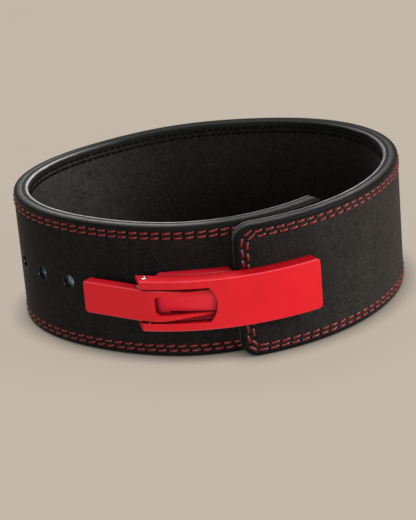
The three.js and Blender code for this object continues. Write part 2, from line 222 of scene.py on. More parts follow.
def finishPiece(name, mesh, materials, replaced, sharpAngle=None):
    # One object at the origin, riding on the only body
    for material in materials:
        mesh.materials.append(material)
    if sharpAngle:
        mesh.shade_smooth()
        mesh.set_sharp_from_angle(angle=math.radians(sharpAngle))
    piece = addObject(name, mesh)
    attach(piece, "root")
    if replaced:
        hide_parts(*replaced)


# Materials. Noise scales count patches to the metre, so 900 gives patches of 1.1 mm
def newMaterial(name):
    material = bpy.data.materials.new(name)
    material.use_nodes = True
    tree = material.node_tree
    tree.nodes.clear()
    shader = addNode(tree, "ShaderNodeBsdfPrincipled")
    addNode(tree, "ShaderNodeOutputMaterial", {}, {"Surface": shader.outputs["BSDF"]})
    return material, tree, shader


edgePaint = {
    "bandInset": 3.2,  # how far the paint laps on to the faces
    "bandSoftness": 0.5,
    "blackBackFrom": 105.0,  # behind the middle, from where the edge is drawn plain black
    "greyFrontTo": 20.0,  # and up to where its plies show grey
    "waverScale": 60.0,  # 17 mm waves that the bands' places follow
    "waver": 0.06,  # how far they move, as a share of the thickness
    "streaks": (90.0, 1600.0, 1.0),  # 11 mm long, 0.6 mm wide, drawn that coarse so that they show
    "streakLow": 0.55,  # how dark and how light a streak is
    "streakHigh": 1.6,
    "grainScale": 700.0,  # 1.4 mm dents that the rubbing left; real ones are finer and would not show
    "black": "#080908",
    "plies": (  # share of the thickness from the outer face, colour
        (0.00, "#0d0d0d"), (0.24, "#171717"), (0.29, "#4c4c4b"), (0.35, "#8f8f8e"),
        (0.42, "#5e5e5d"), (0.49, "#959594"), (0.55, "#5c5c5b"), (0.60, "#262626"),
        (0.66, "#242424"), (0.71, "#3c3c3b"), (0.77, "#5c5c5c"), (0.82, "#efefee"),
        (0.91, "#e6e6e5"), (0.955, "#4b4b4a"), (1.00, "#191918"),
    ),
    "toneAcross": (  # share of the way from the left end to the right, how light the edge is drawn there
        (0.00, "#b4b4b4"), (0.05, "#c6c6c6"), (0.11, "#ececec"), (0.30, "#f2f2f2"), (0.46, "#e4e4e4"),
        (0.54, "#9c9c9c"), (0.74, "#9c9c9c"), (0.86, "#c8c8c8"), (0.94, "#a0a0a0"), (1.00, "#8c8c8c"),
    ),
}


nubuck = {
    "dark": "#0b0b0a",
    "light": "#1e1c1b",
    # Real fibres are about 0.1 mm, too fine to show, so they are drawn as 1.1 mm tufts, their ends 0.9 mm apart
    "tuftScale": 900.0,
    "speckScale": 1100.0,
    "mottleScale": 260.0,  # 4 mm patches of shorter nap
    "cloudScale": 45.0,  # 22 mm clouds where it was stroked
    "mottleShare": 0.7,  # what patches and clouds weigh beside the tufts
    "cloudShare": 0.35,
    "darkBelow": 0.74,  # sums of the three that give the dark and the light tone
    "lightAbove": 1.3,
    "speckFrom": 0.58,
    "speckTo": 0.76,
    "speckStrength": 0.34,
    "speck": "#474542",
    "paintedLightFrom": 20.0,  # across from the middle, where the painted light on the hide starts
    "paintedLightTo": 125.0,
    "sheen": 0.14,
    "sheenTint": "#b8afa4",
    "tuftHeight": 0.4,
}


def nubuckMaterial(name, paintedLitSide, paintedLitGain):
    # Nubuck: sanded grain leather, so a matt face of short fibres with a soft sheen,
    # and at its rim the black and grey edge paint that laps over the plies
    material, tree, shader = newMaterial(name)
    place = addNode(tree, "ShaderNodeTexCoord").outputs["Object"]
    noises = {}
    for key, detail, rough in (
            ("tuft", 3.0, 0.65), ("cloud", 4.0, 0.6), ("speck", 1.0, 0.5), ("mottle", 2.0, 0.5)):
        noises[key] = addNode(tree, "ShaderNodeTexNoise", sockets={
            "Vector": place, "Scale": nubuck[key + "Scale"], "Detail": detail,
            "Roughness": rough}).outputs["Fac"]
    speckMask = addNode(tree, "ShaderNodeMapRange", sockets={
        "Value": noises["speck"], "From Min": nubuck["speckFrom"], "From Max": nubuck["speckTo"],
        "To Max": nubuck["speckStrength"]})
    patchy = addNode(tree, "ShaderNodeMath", {"operation": "MULTIPLY_ADD"}, {
        0: noises["mottle"], 1: nubuck["mottleShare"], 2: noises["tuft"]})
    blend = addNode(tree, "ShaderNodeMath", {"operation": "MULTIPLY_ADD"}, {
        0: noises["cloud"], 1: nubuck["cloudShare"], 2: patchy.outputs["Value"]})
    tone = addNode(tree, "ShaderNodeMapRange", sockets={
        "Value": blend.outputs["Value"], "From Min": nubuck["darkBelow"], "From Max": nubuck["lightAbove"]})
    hide = addNode(tree, "ShaderNodeMix", {"data_type": "RGBA"}, {
        "Factor": tone.outputs["Result"], 6: linearColour(nubuck["dark"]), 7: linearColour(nubuck["light"])})
    # Painted light: the hide is drawn lighter, by up to the gain, towards the side that the key light falls on
    across = addNode(tree, "ShaderNodeSeparateXYZ", sockets={"Vector": place}).outputs["X"]
    paintedLitScale = addNode(tree, "ShaderNodeMapRange", {"interpolation_type": "SMOOTHSTEP"}, {
        "Value": across, "From Min": paintedLitSide * nubuck["paintedLightFrom"] * mm,
        "From Max": paintedLitSide * nubuck["paintedLightTo"] * mm, "To Min": 1.0, "To Max": paintedLitGain})
    paintedLitHide = addNode(tree, "ShaderNodeVectorMath", {"operation": "SCALE"}, {
        0: hide.outputs[2], "Scale": paintedLitScale.outputs["Result"]})
    speckled = addNode(tree, "ShaderNodeMix", {"data_type": "RGBA"}, {
        "Factor": speckMask.outputs["Result"], 6: paintedLitHide.outputs["Vector"], 7: linearColour(nubuck["speck"])})
    rim = rimPaint(tree, place)
    colour = addNode(tree, "ShaderNodeMix", {"data_type": "RGBA"}, {
        "Factor": rim["mask"], 6: speckled.outputs[2], 7: rim["colour"]})
    roughness = addNode(tree, "ShaderNodeMix", sockets={"Factor": rim["mask"], 2: 0.93, 3: 0.5})
    height = addNode(tree, "ShaderNodeMath", {"operation": "MULTIPLY_ADD"}, {
        0: noises["tuft"], 1: 0.8, 2: noises["cloud"]})
    tufts = addNode(tree, "ShaderNodeBump", sockets={
        "Strength": 0.55, "Distance": nubuck["tuftHeight"] * mm, "Height": height.outputs["Value"]})
    setSockets(tree, shader, {
        "Base Color": colour.outputs[2], "Roughness": roughness.outputs[0], "Normal": tufts.outputs["Normal"],
        "IOR": 1.45, "Specular IOR Level": 0.15, "Sheen Weight": nubuck["sheen"], "Sheen Roughness": 0.4,
        "Sheen Tint": linearColour(nubuck["sheenTint"])})
    return material


def rimPaint(tree, place):
    # Colour of the painted edge by depth through the plies, and where it covers the face.
    # edgeMap holds inset and depth as shares, rimMap metres round the edge and through it
    edgeMap = addNode(tree, "ShaderNodeUVMap", {"uv_map": "edgeMap"}).outputs["UV"]
    axes = addNode(tree, "ShaderNodeSeparateXYZ", sockets={"Vector": edgeMap})
    rimMap = addNode(tree, "ShaderNodeUVMap", {"uv_map": "rimMap"}).outputs["UV"]
    stretched = addNode(tree, "ShaderNodeMapping", sockets={"Vector": rimMap, "Scale": edgePaint["streaks"]})
    streaks = addNode(tree, "ShaderNodeTexNoise", sockets={
        "Vector": stretched.outputs["Vector"], "Scale": 1.0, "Detail": 3.0})
    waver = addNode(tree, "ShaderNodeTexNoise", sockets={
        "Vector": place, "Scale": edgePaint["waverScale"], "Detail": 2.0})
    shifted = addNode(tree, "ShaderNodeMath", {"operation": "MULTIPLY_ADD"}, {
        0: waver.outputs["Fac"], 1: edgePaint["waver"], 2: axes.outputs["Y"]})
    depth = addNode(tree, "ShaderNodeMath", {"operation": "SUBTRACT"}, {
        0: shifted.outputs["Value"], 1: edgePaint["waver"] / 2})
    plies = addNode(tree, "ShaderNodeValToRGB", sockets={"Fac": depth.outputs["Value"]})
    setRamp(plies, edgePaint["plies"])
    worn = addNode(tree, "ShaderNodeMapRange", sockets={
        "Value": streaks.outputs["Fac"], "From Min": 0.3, "From Max": 0.7,
        "To Min": edgePaint["streakLow"], "To Max": edgePaint["streakHigh"]})
    sides = addNode(tree, "ShaderNodeSeparateXYZ", sockets={"Vector": place}).outputs
    half = (packedHigh.x - packedLow.x) / 2
    across = addNode(tree, "ShaderNodeMapRange", sockets={
        "Value": sides["X"], "From Min": -half, "From Max": half})
    toneAcross = addNode(tree, "ShaderNodeValToRGB", sockets={"Fac": across.outputs["Result"]})
    setRamp(toneAcross, edgePaint["toneAcross"])
    streaked = addNode(tree, "ShaderNodeVectorMath", {"operation": "SCALE"}, {
        0: plies.outputs["Color"], "Scale": worn.outputs["Result"]})
    colour = addNode(tree, "ShaderNodeVectorMath", {"operation": "MULTIPLY"}, {
        0: streaked.outputs["Vector"], 1: toneAcross.outputs["Color"]})
    reach = edgePaint["bandInset"] / strap["endCorner"]
    soft = edgePaint["bandSoftness"] / strap["endCorner"]
    mask = addNode(tree, "ShaderNodeMapRange", sockets={
        "Value": axes.outputs["X"], "From Min": reach - soft, "From Max": reach + soft,
        "To Min": 1.0, "To Max": 0.0})
    # The edge goes over to plain black towards the back
    towardsBack = addNode(tree, "ShaderNodeMapRange", {"interpolation_type": "SMOOTHSTEP"}, {
        "Value": sides["Y"], "From Min": edgePaint["greyFrontTo"] * mm, "From Max": edgePaint["blackBackFrom"] * mm})
    paint = addNode(tree, "ShaderNodeMix", {"data_type": "RGBA"}, {
        "Factor": towardsBack.outputs["Result"], 6: colour.outputs["Vector"], 7: linearColour(edgePaint["black"])})
    return {"colour": paint.outputs[2], "mask": mask.outputs["Result"]}


def edgeMaterial():
    # Burnished edge: glued plies rubbed smooth and painted grey, so soft gloss with fine lines
    material, tree, shader = newMaterial("burnishedPaintedEdge")
    place = addNode(tree, "ShaderNodeTexCoord").outputs["Object"]
    grain = addNode(tree, "ShaderNodeTexNoise", sockets={
        "Vector": place, "Scale": edgePaint["grainScale"], "Detail": 3.0})
    bump = addNode(tree, "ShaderNodeBump", sockets={
        "Strength": 0.5, "Distance": 0.3 * mm, "Height": grain.outputs["Fac"]})
    setSockets(tree, shader, {
        "Base Color": rimPaint(tree, place)["colour"], "Normal": bump.outputs["Normal"],
        "Roughness": 0.55, "IOR": 1.5, "Specular IOR Level": 0.3})
    return material


holeWall = {
    "depths": (  # share of the thickness from the outer face, colour
        (0.00, "#08090a"), (0.22, "#0d0f11"), (0.38, "#3d444c"), (0.58, "#8f98a2"),
        (0.80, "#767e87"), (1.00, "#2b2f34"),
    ),
    "roughness": 0.16,
}


def holeMaterial():
    # Punched hole wall: glossy black by its mouth, lighter blue-grey further in
    material, tree, shader = newMaterial("burnishedHoleWall")
    place = addNode(tree, "ShaderNodeTexCoord").outputs["Object"]
    rub = addNode(tree, "ShaderNodeTexNoise", sockets={
        "Vector": place, "Scale": 500.0, "Detail": 2.0})  # 2 mm rubbed patches
    edgeMap = addNode(tree, "ShaderNodeUVMap", {"uv_map": "edgeMap"}).outputs["UV"]
    share = addNode(tree, "ShaderNodeSeparateXYZ", sockets={"Vector": edgeMap}).outputs["Y"]
    byDepth = addNode(tree, "ShaderNodeValToRGB", sockets={"Fac": share})
    setRamp(byDepth, holeWall["depths"])
    rubbedBy = addNode(tree, "ShaderNodeMapRange", sockets={
        "Value": rub.outputs["Fac"], "From Min": 0.3, "From Max": 0.7, "To Min": 0.5, "To Max": 1.5})
    tone = addNode(tree, "ShaderNodeVectorMath", {"operation": "SCALE"}, {
        0: byDepth.outputs["Color"], "Scale": rubbedBy.outputs["Result"]})
    bump = addNode(tree, "ShaderNodeBump", sockets={
        "Strength": 0.25, "Distance": 0.2 * mm, "Height": rub.outputs["Fac"]})
    setSockets(tree, shader, {
        "Base Color": tone.outputs["Vector"], "Normal": bump.outputs["Normal"],
        "Roughness": holeWall["roughness"], "IOR": 1.5})
    return material


def threadMaterial(name, shade, core, roughness, specular):
    # Bonded polyester thread: twisted plies 0.7 mm wide, waxed, so the lit side has a line of shine
    material, tree, shader = newMaterial(name)
    twist = addNode(tree, "ShaderNodeUVMap", {"uv_map": "twistMap"}).outputs["UV"]
    wave = addNode(tree, "ShaderNodeTexWave", {"wave_type": "BANDS", "bands_direction": "DIAGONAL"}, {
        "Vector": twist, "Scale": 0.9, "Distortion": 0.6, "Detail": 1.0})  # on millimetres
    tone = addNode(tree, "ShaderNodeMix", {"data_type": "RGBA"}, {
        "Factor": wave.outputs["Fac"], 6: linearColour(shade), 7: linearColour(core)})
    bump = addNode(tree, "ShaderNodeBump", sockets={
        "Strength": 0.2, "Distance": 0.2 * mm, "Height": wave.outputs["Fac"]})
    setSockets(tree, shader, {
        "Base Color": tone.outputs[2], "Normal": bump.outputs["Normal"], "Roughness": roughness,
        "IOR": 1.55, "Specular IOR Level": specular})
    return material


def needleHoleMaterial(name, dark, light):
    # Needle hole: outside a dark disc of painted shade for a pit in black leather, too small to light;
    # inside a paler tuft that the thread has pulled up
    material, tree, shader = newMaterial(name)
    place = addNode(tree, "ShaderNodeTexCoord").outputs["Object"]
    rag = addNode(tree, "ShaderNodeTexNoise", sockets={"Vector": place, "Scale": 1500.0})  # 0.7 mm rags
    tone = addNode(tree, "ShaderNodeMix", {"data_type": "RGBA"}, {
        "Factor": rag.outputs["Fac"], 6: linearColour(dark), 7: linearColour(light)})
    setSockets(tree, shader, {"Base Color": tone.outputs[2], "Roughness": 0.95, "Specular IOR Level": 0.1})
    return material


redCoat = {
    "cloudScale": 60.0,  # 17 mm clouds where the powder lay thicker
    "peelScale": 650.0,  # 1.5 mm orange peel
    "glossVaries": 0.04,
    "cornerReach": 9.0,  # how far out of a corner its shade reaches
    "cornerShade": 0.08,  # share of the colour left deep in a corner
    "openFrom": 0.4,  # share of open sky at which a place counts as deep
    "openTo": 0.84,  # and as open
}


def redCoatMaterial(name, dark, light, roughness):
    # Powder coat on cast zinc: satin red with a faint orange peel, drawn lighter as a painted highlight
    # and shinier where it runs over the cast edges, and darkened deep in its corners as painted shade
    material, tree, shader = newMaterial(name)
    place = addNode(tree, "ShaderNodeTexCoord").outputs["Object"]
    clouds = addNode(tree, "ShaderNodeTexNoise", sockets={
        "Vector": place, "Scale": redCoat["cloudScale"], "Detail": 3.0})
    peel = addNode(tree, "ShaderNodeTexNoise", sockets={
        "Vector": place, "Scale": redCoat["peelScale"], "Detail": 2.0})
    tone = addNode(tree, "ShaderNodeMix", {"data_type": "RGBA"}, {
        "Factor": clouds.outputs["Fac"], 6: linearColour(dark), 7: linearColour(light)})
    gloss = addNode(tree, "ShaderNodeMapRange", sockets={
        "Value": clouds.outputs["Fac"], "To Min": roughness - redCoat["glossVaries"],
        "To Max": roughness + redCoat["glossVaries"]})
    bump = addNode(tree, "ShaderNodeBump", sockets={
        "Strength": 0.12, "Distance": 0.1 * mm, "Height": peel.outputs["Fac"]})
    # Painted shade: the colour is darkened where ambient occlusion finds the coat closed in
    openness = addNode(tree, "ShaderNodeAmbientOcclusion", {"samples": 16}, {
        "Distance": redCoat["cornerReach"] * mm}).outputs["AO"]
    shade = addNode(tree, "ShaderNodeMapRange", sockets={
        "Value": openness, "From Min": redCoat["openFrom"], "From Max": redCoat["openTo"],
        "To Min": redCoat["cornerShade"], "To Max": 1.0})
    shaded = addNode(tree, "ShaderNodeVectorMath", {"operation": "SCALE"}, {
        0: tone.outputs[2], "Scale": shade.outputs["Result"]})
    setSockets(tree, shader, {
        "Base Color": shaded.outputs["Vector"], "Roughness": gloss.outputs["Result"],
        "Normal": bump.outputs["Normal"], "IOR": 1.5, "Specular IOR Level": 0.35})
    return material


def steelMaterial(name, dark, light):
    # Turned steel pin with rings from the lathe, bright where it shows, oiled black inside.
    # Real rings are about 0.1 mm apart, too fine to show, so they are drawn at 0.6 mm
    material, tree, shader = newMaterial(name)
    place = addNode(tree, "ShaderNodeTexCoord").outputs["Object"]
    rings = addNode(tree, "ShaderNodeTexNoise", sockets={"Vector": place, "Scale": 1800.0, "Detail": 2.0})
    tone = addNode(tree, "ShaderNodeMix", {"data_type": "RGBA"}, {
        "Factor": rings.outputs["Fac"], 6: linearColour(dark), 7: linearColour(light)})
    gloss = addNode(tree, "ShaderNodeMapRange", sockets={
        "Value": rings.outputs["Fac"], "To Min": 0.18, "To Max": 0.34})
    setSockets(tree, shader, {
        "Base Color": tone.outputs[2], "Roughness": gloss.outputs["Result"], "Metallic": 1.0})
    return material


looks = {
    # Each hide's painted light: the side it lies to and how much lighter it is drawn there
    "outerNubuck": nubuckMaterial("blackNubuckOutside", 1, 2.9),
    "innerSuede": nubuckMaterial("blackSuedeInside", -1, 4.4),
    "edge": edgeMaterial(),
    "holeWall": holeMaterial(),
    "redThread": threadMaterial("redBondedThread", "#4a0309", "#850810", 0.3, 0.55),
    "blackThread": threadMaterial("blackBondedThread", "#030303", "#080808", 0.7, 0.08),
    "needleHole": needleHoleMaterial("needleHoleShadow", "#020202", "#0c0b0a"),
    "pulledTuft": needleHoleMaterial("pulledSuedeTuft", "#423f3a", "#7a746a"),
    "redCoat": redCoatMaterial("satinRedPowderCoat", "#d2071a", "#de1024", 0.42),
    # The base plate's coat is drawn lighter, painted light for its shaded recess
    "redCoatPaintedLit": redCoatMaterial("brightRedPowderCoat", "#f01a30", "#f8283e", 0.42),
    "redEdgeHighlight": redCoatMaterial("thinRedCoatOnEdges", "#e2323f", "#ee505b", 0.26),
    "steel": steelMaterial("turnedSteel", "#c4c5c7", "#f0f1f2"),
    "oiledSteel": steelMaterial("oiledBlackSteel", "#141414", "#232324"),
}
print("materials made:", len(looks))


# Strap plies: rings round the strap's outline, from the middle of one face over the edge to the other
def outlineRing(inset):
    # Places along and up the strap, at one inset from its outline, in matching order for every inset
    corner = strap["endCorner"]
    radius = corner - inset
    turns = np.linspace(0, math.pi / 2, strap["cornerSteps"] + 1)[1:-1]
    along, up = straightStations()
    ends = ((strapLength - corner, corner, -0.5), (strapLength - corner, strap["height"] - corner, 0.0),
            (corner, strap["height"] - corner, 0.5), (corner, corner, 1.0))
    ring = [np.stack([along, np.full(len(along), inset)], 1)]
    sides = (
        np.stack([np.full(len(up), strapLength - inset), up], 1),
        np.stack([along[::-1], np.full(len(along), strap["height"] - inset)], 1),
        np.stack([np.full(len(up), inset), up[::-1]], 1),
    )
    for (centreAlong, centreUp, halfTurns), side in zip(ends, (*sides, None)):
        angles = turns + halfTurns * math.pi
        ring.append(np.stack([
            centreAlong + radius * np.cos(angles), centreUp + radius * np.sin(angles)], 1))
        if side is not None:
            ring.append(side)
    return np.concatenate(ring)


def straightStations():
    corner = strap["endCorner"]
    alongCount = round((strapLength - 2 * corner) / strap["stationStep"])
    upCount = round((strap["height"] - 2 * corner) / strap["stationStep"])
    return (np.linspace(corner, strapLength - corner, alongCount + 1),
            np.linspace(corner, strap["height"] - corner, upCount + 1))


def plyMesh(name, profile):
    # A ply laid flat: x along the strap, y in from its outer face, z up.
    # profile holds (inset, depth) pairs from one face's middle to the other's
    along, up = straightStations()
    edgeLine = outlineRing(0.0)
    edgeSteps = np.linalg.norm(np.roll(edgeLine, -1, axis=0) - edgeLine, axis=1)
    reach = np.concatenate([[0.0], np.cumsum(edgeSteps)]) * mm
    places, insets, depths, faces, rimPlaces = [], [], [], [], []
    for inset, depth in profile:
        ring = outlineRing(inset)
        places.append(np.stack([ring[:, 0], np.full(len(ring), depth), ring[:, 1]], 1) * mm)
        insets += [inset] * len(ring)
        depths += [depth] * len(ring)
    count = len(ring)
    for ringIndex in range(len(profile) - 1):
        start = ringIndex * count
        near, far = profile[ringIndex][1] * mm, profile[ringIndex + 1][1] * mm
        for corner in range(count):
            following = (corner + 1) % count
            faces.append((start + corner, start + following,
                          start + following + count, start + corner + count))
            rimPlaces += [(reach[corner], near), (reach[corner + 1], near),
                          (reach[corner + 1], far), (reach[corner], far)]
    for depth, flipped in ((profile[0][1], False), (profile[-1][1], True)):
        base = sum(len(p) for p in places)
        alongGrid, upGrid = np.meshgrid(along, up, indexing="ij")
        grid = np.stack([alongGrid, np.full_like(alongGrid, depth), upGrid], -1)
        places.append(grid.reshape(-1, 3) * mm)
        insets += [strap["endCorner"]] * alongGrid.size
        depths += [depth] * alongGrid.size
        for i in range(len(along) - 1):
            for j in range(len(up) - 1):
                quad = [base + i * len(up) + j, base + (i + 1) * len(up) + j,
                        base + (i + 1) * len(up) + j + 1, base + i * len(up) + j + 1]
                faces.append(tuple(quad[::-1]) if flipped else tuple(quad))
                rimPlaces += [(along[i] * mm, depth * mm)] * 4
    mesh = bpy.data.meshes.new(name)
    mesh.from_pydata(np.concatenate(places).tolist(), [], faces)
    edgeMap = mesh.uv_layers.new(name="edgeMap")
    corners = np.zeros(len(mesh.loops), int)
    mesh.loops.foreach_get("vertex_index", corners)
    shares = np.stack([np.array(insets) / strap["endCorner"], np.array(depths) / strap["thickness"]], 1)
    edgeMap.data.foreach_set("uv", shares[corners].ravel())
    rimMap = mesh.uv_layers.new(name="rimMap")
    rimMap.data.foreach_set("uv", np.array(rimPlaces).ravel())
    body = bmesh.new()
    body.from_mesh(mesh)
    bmesh.ops.remove_doubles(body, verts=body.verts, dist=1e-6)
    bmesh.ops.dissolve_degenerate(body, edges=body.edges, dist=1e-7)
    bmesh.ops.recalc_face_normals(body, faces=body.faces)
    body.to_mesh(mesh)
    body.free()
    return mesh


def loopLine():
    # The line that the strap follows, a little longer than the strap at both ends
    spare = 20.0
    used = (turnDistances > -spare) & (turnDistances < strapLength + spare)
    line = np.column_stack([linePoints(turnAngles[used]) + footprintShift, np.zeros(used.sum())]) * mm
    mesh = bpy.data.meshes.new("loopLine")
    mesh.from_pydata(line.tolist(), [(i, i + 1) for i in range(len(line) - 1)], [])
    return addObject("loopLine", mesh), float(turnDistances[used][0])


def newTree(name, labels):
    # A Geometry Nodes tree with named inputs, and its sockets by name
    kinds = {"Loop Line": "Object", "Material": "Material", "Stitch Count": "Int", "Seed": "Int"}
    tree = bpy.data.node_groups.new(name, "GeometryNodeTree")
    tree.interface.new_socket("Geometry", in_out="INPUT", socket_type="NodeSocketGeometry")
    for label in labels:
        kind = "NodeSocket" + kinds.get(label, "Float")
        tree.interface.new_socket(label, in_out="INPUT", socket_type=kind)
    tree.interface.new_socket("Geometry", in_out="OUTPUT", socket_type="NodeSocketGeometry")
    return tree, {socket.name: socket for socket in addNode(tree, "NodeGroupInput").outputs}


def bendTree(name):
    # Geometry Nodes: bend a flat ply round the loop line, each turn lying on the one within,
    # and let its inner end come away from the layer in front
    tree, given = newTree(name, (
        "Loop Line", "Material", "Line Start", "Turn Length", "Strap Length", "Layer Pitch",
        "Peel Depth", "Peel Length", "Peel Power"))
    place = addNode(tree, "GeometryNodeInputPosition").outputs["Position"]
    flat = addNode(tree, "ShaderNodeSeparateXYZ", sockets={"Vector": place}).outputs
    given.update(along=flat["X"], depth=flat["Y"])
    for result, operation, first, second in (
            ("turns", "DIVIDE", "along", "Turn Length"), ("toTurn", "SUBTRACT", 1.0, "turns"),
            ("layer", "MULTIPLY", "Layer Pitch", "toTurn"), ("toEnd", "SUBTRACT", "Strap Length", "along"),
            ("ahead", "DIVIDE", "toEnd", "Peel Length"), ("behind", "SUBTRACT", 1.0, "ahead"),
            ("run", "MAXIMUM", "behind", 0.0), ("bow", "POWER", "run", "Peel Power"),
            ("peel", "MULTIPLY", "Peel Depth", "bow"), ("face", "SUBTRACT", "layer", "peel"),
            ("out", "SUBTRACT", "face", "depth"), ("onLine", "SUBTRACT", "along", "Line Start")):
        given[result] = addNode(tree, "ShaderNodeMath", {"operation": operation}, {
            0: given.get(first, first), 1: given.get(second, second)}).outputs["Value"]
    line = addNode(tree, "GeometryNodeObjectInfo", sockets={"Object": given["Loop Line"]})
    curve = addNode(tree, "GeometryNodeMeshToCurve", sockets={"Mesh": line.outputs["Geometry"]})
    onLine = addNode(tree, "GeometryNodeSampleCurve", {"mode": "LENGTH"}, {
        "Curves": curve.outputs["Curve"], "Length": given["onLine"]})
    outward = addNode(tree, "ShaderNodeVectorMath", {"operation": "CROSS_PRODUCT"}, {
        0: onLine.outputs["Tangent"], 1: (0.0, 0.0, 1.0)})
    moved = addNode(tree, "ShaderNodeVectorMath", {"operation": "SCALE"}, {
        0: outward.outputs["Vector"], "Scale": given["out"]})
    level = addNode(tree, "ShaderNodeVectorMath", {"operation": "ADD"}, {
        0: onLine.outputs["Position"], 1: moved.outputs["Vector"]})
    height = addNode(tree, "ShaderNodeCombineXYZ", sockets={"Z": flat["Z"]})
    bentPlace = addNode(tree, "ShaderNodeVectorMath", {"operation": "ADD"}, {
        0: level.outputs["Vector"], 1: height.outputs["Vector"]})
    bent = addNode(tree, "GeometryNodeSetPosition", sockets={
        "Geometry": given["Geometry"], "Position": bentPlace.outputs["Vector"]})
    real = addNode(tree, "GeometryNodeRealizeInstances", sockets={"Geometry": bent.outputs["Geometry"]})
    coloured = addNode(tree, "GeometryNodeSetMaterial", sockets={
        "Geometry": real.outputs["Geometry"], "Material": given["Material"]})
    addNode(tree, "NodeGroupOutput", {}, {"Geometry": coloured.outputs["Geometry"]})
    return tree


edgeShape = {
    "rounding": 2.2,  # radius of the strap's outer edges
    "roundingSteps": 5,
    "plyGap": 0.04,
    "plyLines": (0.35, 0.57, 0.79),  # glue lines, as shares of the thickness
    "lineWidth": 0.35,
    "lineDepth": 0.22,
    "outerRows": (4.9, 8.5),  # stitch rows, in from the edge
    "innerRows": (4.6, 8.4),
    "grooveWidth": 1.9,
    "grooveDepth": 0.3,
    "flatBeforeEdge": 0.6,
}


def roundedInset(depth):
    # How far the rounded edge stands in, by depth from the nearer face
    radius = edgeShape["rounding"]
    return radius - math.sqrt(radius ** 2 - max(radius - depth, 0) ** 2)


def faceProfile(rows):
    # Half a section, from the middle of a face to its edge: flat, grooves, then the rounding
    half = edgeShape["grooveWidth"] / 2
    steps = [(strap["endCorner"], 0.0)]
    for row in sorted(rows, reverse=True):
        for share, sink in ((1, 0), (0.5, 0.7), (0, 1), (-0.5, 0.7), (-1, 0)):
            steps.append((row + share * half, sink * edgeShape["grooveDepth"]))
    steps.append((edgeShape["rounding"] + edgeShape["flatBeforeEdge"], 0.0))
    for step in range(edgeShape["roundingSteps"] + 1):
        depth = strap["suede"] * (step / edgeShape["roundingSteps"]) ** 2
        steps.append((roundedInset(depth), depth))
    return steps


def coreProfile():
    # The core's cut edge, with a fine groove at each glue line
    front = strap["suede"] + edgeShape["plyGap"]
    back = strap["thickness"] - front
    steps = [(strap["endCorner"], front)]
    depths = [front, edgeShape["rounding"]]
    for share in edgeShape["plyLines"]:
        middle, half = share * strap["thickness"], edgeShape["lineWidth"] / 2
        depths += [middle - half, middle, middle + half]
    depths += [strap["thickness"] - edgeShape["rounding"], back]
    middles = [share * strap["thickness"] for share in edgeShape["plyLines"]]
    for depth in sorted(depths):
        sunk = edgeShape["lineDepth"] if depth in middles else 0
        steps.append((roundedInset(min(depth, strap["thickness"] - depth)) + sunk, depth))
    return steps + [(strap["endCorner"], back)]


def makePlies():
    outer = faceProfile(edgeShape["outerRows"])
    inner = [(inset, strap["thickness"] - depth) for inset, depth in faceProfile(edgeShape["innerRows"])]
    return {
        "nubuckOutside": plyMesh("nubuckOutside", outer + [(strap["endCorner"], strap["suede"])]),
        "leatherCore": plyMesh("leatherCore", coreProfile()),
        "suedeInside": plyMesh("suedeInside", inner + [
            (strap["endCorner"], strap["thickness"] - strap["suede"])]),
    }


punch = {
    "sides": 40,
    "profile": (  # share of the hole's radius, depth from the outer face
        (1.16, -0.6), (1.13, 0.0), (1.05, 0.25), (1.01, 0.7), (1.0, 1.2), (1.0, 10.3),
        (1.01, 10.8), (1.05, 11.25), (1.13, 11.5), (1.16, 12.1),
    ),
}


def punchCutter():
    # Every hole's punch in one mesh, flared where the rim is pressed in
    mesh = bpy.data.meshes.new("punchCutter")
    body = bmesh.new()
    angles = np.linspace(0, 2 * math.pi, punch["sides"], endpoint=False)
    for index in range(strap["holeCount"]):
        distance = strapLength - strap["firstHole"] - index * strap["holePitch"]
        centre, normal, tangent = strapPoints(distance, 0, strap["height"] / 2)
        outward, along = np.append(normal, 0), np.append(tangent, 0)
        rings = []
        for share, depth in punch["profile"]:
            radius = share * strap["holeDiameter"] / 2 * mm
            rings.append([body.verts.new(
                centre - outward * depth * mm + radius * (np.cos(a) * along + np.sin(a) * upAxis))
                for a in angles])
        for ring, following in zip(rings, rings[1:]):
            for i in range(len(ring)):
                j = (i + 1) % len(ring)
                body.faces.new((ring[i], ring[j], following[j], following[i]))
        body.faces.new(rings[0])
        body.faces.new(rings[-1][::-1])
    bmesh.ops.recalc_face_normals(body, faces=body.faces)
    shares = body.loops.layers.uv.new("edgeMap")
    ringDepths = [depth / strap["thickness"] for _, depth in punch["profile"]]
    body.verts.index_update()
    for face in body.faces:
        for loop in face.loops:
            ringIndex = loop.vert.index // punch["sides"] % len(ringDepths)
            loop[shares].uv = (1.0, ringDepths[ringIndex])
    body.to_mesh(mesh)
    body.free()
    mesh.materials.append(looks["holeWall"])
    return addObject("punchCutter", mesh)


def bentAndPunched(mesh, material, tree, line, lineStart, cutter):
    # The flat ply bent round the loop, then its holes cut, hole walls taking the cutter's material
    blank = addObject("blank", mesh)
    bend = blank.modifiers.new("bend", "NODES")
    bend.node_group = tree
    setInputs(bend, {
        "Loop Line": line,
        "Material": material,
        "Line Start": lineStart * mm,
        "Turn Length": float(turnLength) * mm,
        "Strap Length": float(strapLength) * mm,
        "Layer Pitch": layerPitch * mm,
        "Peel Depth": strap["peelDepth"] * mm,
        "Peel Length": strap["peelLength"] * mm,
        "Peel Power": strap["peelPower"],
    })
    cut = blank.modifiers.new("punch", "BOOLEAN")
    cut.operation, cut.solver, cut.object = "DIFFERENCE", "EXACT", cutter
    cut.material_mode = "TRANSFER"
    return settledMesh(blank, mesh.name)


